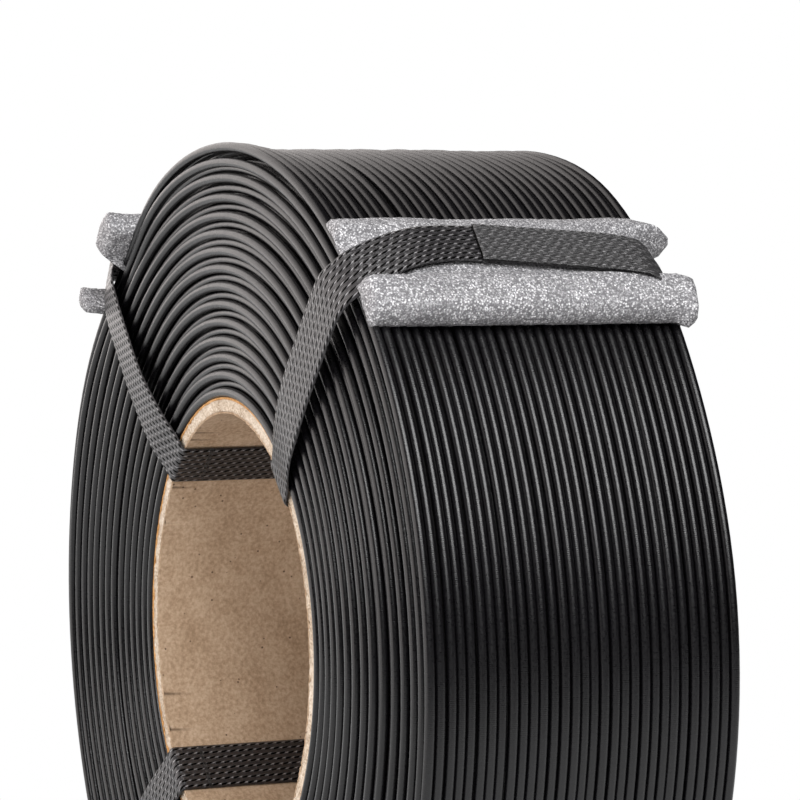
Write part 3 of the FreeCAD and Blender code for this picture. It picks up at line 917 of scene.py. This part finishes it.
def make_pad(name):
    """One foam pad: soft flaps on both sides of the strap that sinks into it, and ends that flare out."""
    place = PLACES[name]
    points, faces = grid_block((PAD_WIDTH, PAD_LENGTH, 1.0), FOAM_GRID)
    across = points[:, 0] - PAD_WIDTH / 2
    along = points[:, 1]
    high = points[:, 2]
    coil_along = place.pad_front - HALF_WIDTH + along
    strap_middle = math.radians(place.over_pad - place.pad) * STRAP_TOP_RADIUS
    beside = ease((np.abs(across - strap_middle) - STRAP_WIDTH / 2 - 0.2) / 1.9)
    thick = foam_thickness(place, across, along, coil_along, beside)
    # Past the winding's edge the foam sinks in under the strap, and the flaps flare out at the front
    past_edge = np.abs(coil_along) - HALF_WIDTH
    sunk = np.clip(past_edge + 1.0, 0, 4.0) ** 1.5 * 0.35 * (1 - beside)
    flare = np.clip(past_edge + 2.0, 0, 7.0) ** 1.3 * 0.10 * beside * (coil_along < 0)
    # At the back the upper flap is rolled over: thicker past the rim, on its inner side
    front_share = np.clip(1 - along / END_REACH, 0, 1)
    back_share = np.clip(1 - (PAD_LENGTH - along) / END_REACH, 0, 1)
    upper = ease((across - 3.0) / 2.0)
    roll = ROLL_THICKNESS * ease((coil_along + ROLL_REACH * back_share - HALF_WIDTH - 0.9) / 1.6) * upper
    thick = thick + roll
    # Long edges and ends are rounded
    edge = np.minimum(np.abs(np.abs(across) - PAD_WIDTH / 2), np.minimum(along, PAD_LENGTH - along))
    round_off = 1 - np.sqrt(np.clip(1 - (1 - np.clip(edge / EDGE_ROUNDING, 0, 1)) ** 2, 0, 1))
    seat = PAD_SEAT - sunk + flare - roll
    radius = seat + thick / 2 + (high - 0.5) * thick * (1 - 0.75 * round_off)
    wobble = chance.normal(0, FOAM_ROUGHNESS, (len(points), 3))
    # The ends: rounded corners, the rolled end, and the lower flap's end cut askew
    height = across * 0.6 + (radius - PAD_SEAT) * 0.8
    coil_along = coil_along + corner_cut(across) * (front_share - back_share)
    coil_along = coil_along + (ROLL_REACH - rolled_end(height)) * upper * back_share
    coil_along = coil_along + 0.15 * np.clip(across + 5.0, None, 0) * back_share
    held = np.clip(coil_along, HELD_IN - HALF_WIDTH, HALF_WIDTH - HELD_IN)
    coil_along = held * (1 - beside) + coil_along * beside
    hang = HANG * ease(np.clip(past_edge + 2.0, 0, 7.0) / 4.0) * (coil_along > 0) * (across < 0)
    angle = place.pad + np.degrees((across - hang) / PAD_SEAT)
    pad = make_piece("foam_" + name, around(radius, angle, coil_along) + wobble, faces, foam)
    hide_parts("foam_pad_" + name)
    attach(pad, "root")


# The studio

# The room's pale half lies this way from the coil
PALE_SIDE = (-0.755, -0.656, 0.0)
FLOOR_HALF_WIDTH = 900.0


def studio_point(azimuth, elevation, distance):
    """A point at this distance in metres from the coil's middle."""
    turn, tilt = math.radians(azimuth), math.radians(elevation)
    return (distance * math.sin(turn) * math.cos(tilt), -distance * math.cos(turn) * math.cos(tilt),
            AXIS_HEIGHT * MM + distance * math.sin(tilt))


def area_lamp(name, place, size, power):
    """A lamp that points at the coil's middle. Its place and size are in metres."""
    data = bpy.data.lights.new(name, "AREA")
    data.shape = "RECTANGLE"
    data.size, data.size_y = size
    data.energy = power
    lamp = bpy.data.objects.new(name, data)
    lamp.location = place
    middle = Vector((0, 0, AXIS_HEIGHT * MM))
    lamp.rotation_euler = (middle - Vector(place)).to_track_quat("-Z", "Y").to_euler()
    bpy.context.scene.collection.objects.link(lamp)
    return lamp


def make_lamps():
    area_lamp("soft_box", studio_point(86, 46, 0.9), (0.60, 0.58), 9.0)
    # A fill into the bore from the front, which is too soft to show in the gloss
    fill = area_lamp("bore_fill", studio_point(30, 14, 0.8), (0.5, 0.5), 2.8)
    fill.visible_glossy = False


def make_room():
    """The world: a pale half on the left under a darker ceiling, and a dark half on the right. The camera
    sees white."""
    world = bpy.data.worlds.new("studio")
    bpy.context.scene.world = world
    world.use_nodes = True
    tree = world.node_tree
    tree.nodes.clear()
    rays = add_node(tree, "ShaderNodeLightPath")
    seen = calculate(tree, "MAXIMUM", rays.outputs["Is Camera Ray"], rays.outputs["Is Transmission Ray"])
    direction = add_node(tree, "ShaderNodeTexCoord").outputs["Generated"]
    towards = add_node(tree, "ShaderNodeVectorMath", {"operation": "DOT_PRODUCT"},
                       i0=direction, i1=PALE_SIDE)
    split = add_node(tree, "ShaderNodeSeparateXYZ", Vector=direction)
    side = fit_range(tree, towards.outputs["Value"], 0.35, 0.6, 0.02, 2.0)
    ceiling = fit_range(tree, split.outputs["Z"], 0.38, 0.62, 1.0, 0.6)
    room = add_node(tree, "ShaderNodeBackground", Color=hex_colour("#fff8f5"),
                    Strength=calculate(tree, "MULTIPLY", side, ceiling))
    white = add_node(tree, "ShaderNodeBackground", Color=hex_colour("#ffffff"), Strength=1.0)
    final = add_node(tree, "ShaderNodeMixShader", i0=seen, i1=room.outputs[0], i2=white.outputs[0])
    add_node(tree, "ShaderNodeOutputWorld", Surface=final.outputs[0])


def make_floor():
    """A sweep of pale paper that keeps the coil's shadow and goes to white for the camera further out."""
    material, tree, shader = new_material("white_paper_sweep", Base_Color=hex_colour("#d2d2d2"),
                                          Roughness=0.9, Specular_IOR_Level=0.1)
    rays = add_node(tree, "ShaderNodeLightPath")
    glow = add_node(tree, "ShaderNodeEmission", Color=hex_colour("#ffffff"), Strength=1.0)
    place = add_node(tree, "ShaderNodeTexCoord").outputs["Object"]
    far = add_node(tree, "ShaderNodeVectorMath", {"operation": "LENGTH"}, i0=place)
    fade = fit_range(tree, far.outputs["Value"], 0.09, 0.22, 0.0, 1.0)
    seen = calculate(tree, "MAXIMUM", rays.outputs["Is Camera Ray"], rays.outputs["Is Glossy Ray"])
    mixed = add_node(tree, "ShaderNodeMixShader", i0=calculate(tree, "MULTIPLY", fade, seen),
                     i1=shader.outputs["BSDF"], i2=glow.outputs["Emission"])
    output = next(node for node in tree.nodes if node.type == "OUTPUT_MATERIAL")
    tree.links.new(mixed.outputs[0], output.inputs["Surface"])
    half = FLOOR_HALF_WIDTH
    corners = np.array([(-half, -half, 0), (half, -half, 0), (half, half, 0), (-half, half, 0)])
    make_piece("floor", corners, [(0, 1, 2, 3)], material)


place_camera()
make_winding()
make_core()
for place_name in PLACES:
    make_strap(place_name)
    make_pad(place_name)
make_lamps()
make_room()
make_floor()
bpy.context.scene.view_settings.view_transform = "Standard"
